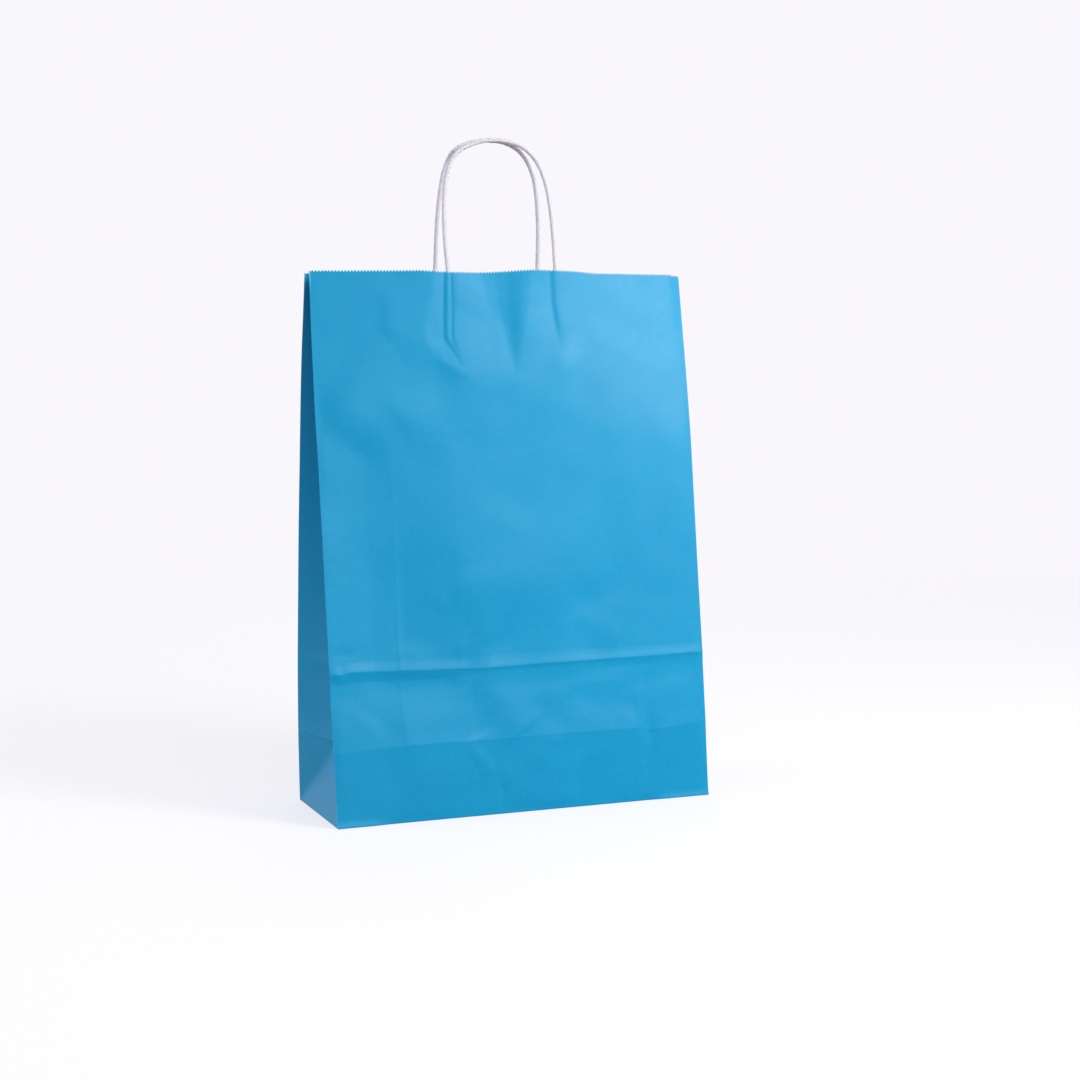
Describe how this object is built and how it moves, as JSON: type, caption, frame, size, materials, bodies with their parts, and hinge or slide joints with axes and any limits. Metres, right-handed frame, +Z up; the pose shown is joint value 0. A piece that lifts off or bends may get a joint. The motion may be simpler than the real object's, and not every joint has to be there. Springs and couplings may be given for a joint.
{
  "type": "paper gift bag",
  "caption": "Upright coloured paper gift bag with side gussets, a folded block bottom, a pinked rim and twisted paper cord handles.",
  "frame": {"origin": "centre of the bag's footprint on the floor it stands on", "axes": "+X to the right across the bag's width as seen from its front, +Y from the front wall to the back wall, +Z up towards the handles"},
  "size_m": [0.31, 0.115, 0.5266],
  "materials": {
    "blue_paper": "smooth machine-finished paper, coloured on the outside only",
    "white_paper": "matt uncoated paper",
    "twisted_cord": "matt twisted paper"
  },
  "bodies": {
    "root": {"bag_body": "blue_paper", "front_handle": "twisted_cord", "back_handle": "twisted_cord", "front_patch_outer": "white_paper", "front_patch_inner": "white_paper", "back_patch_outer": "white_paper", "back_patch_inner": "white_paper"}
  },
  "joints": []
}
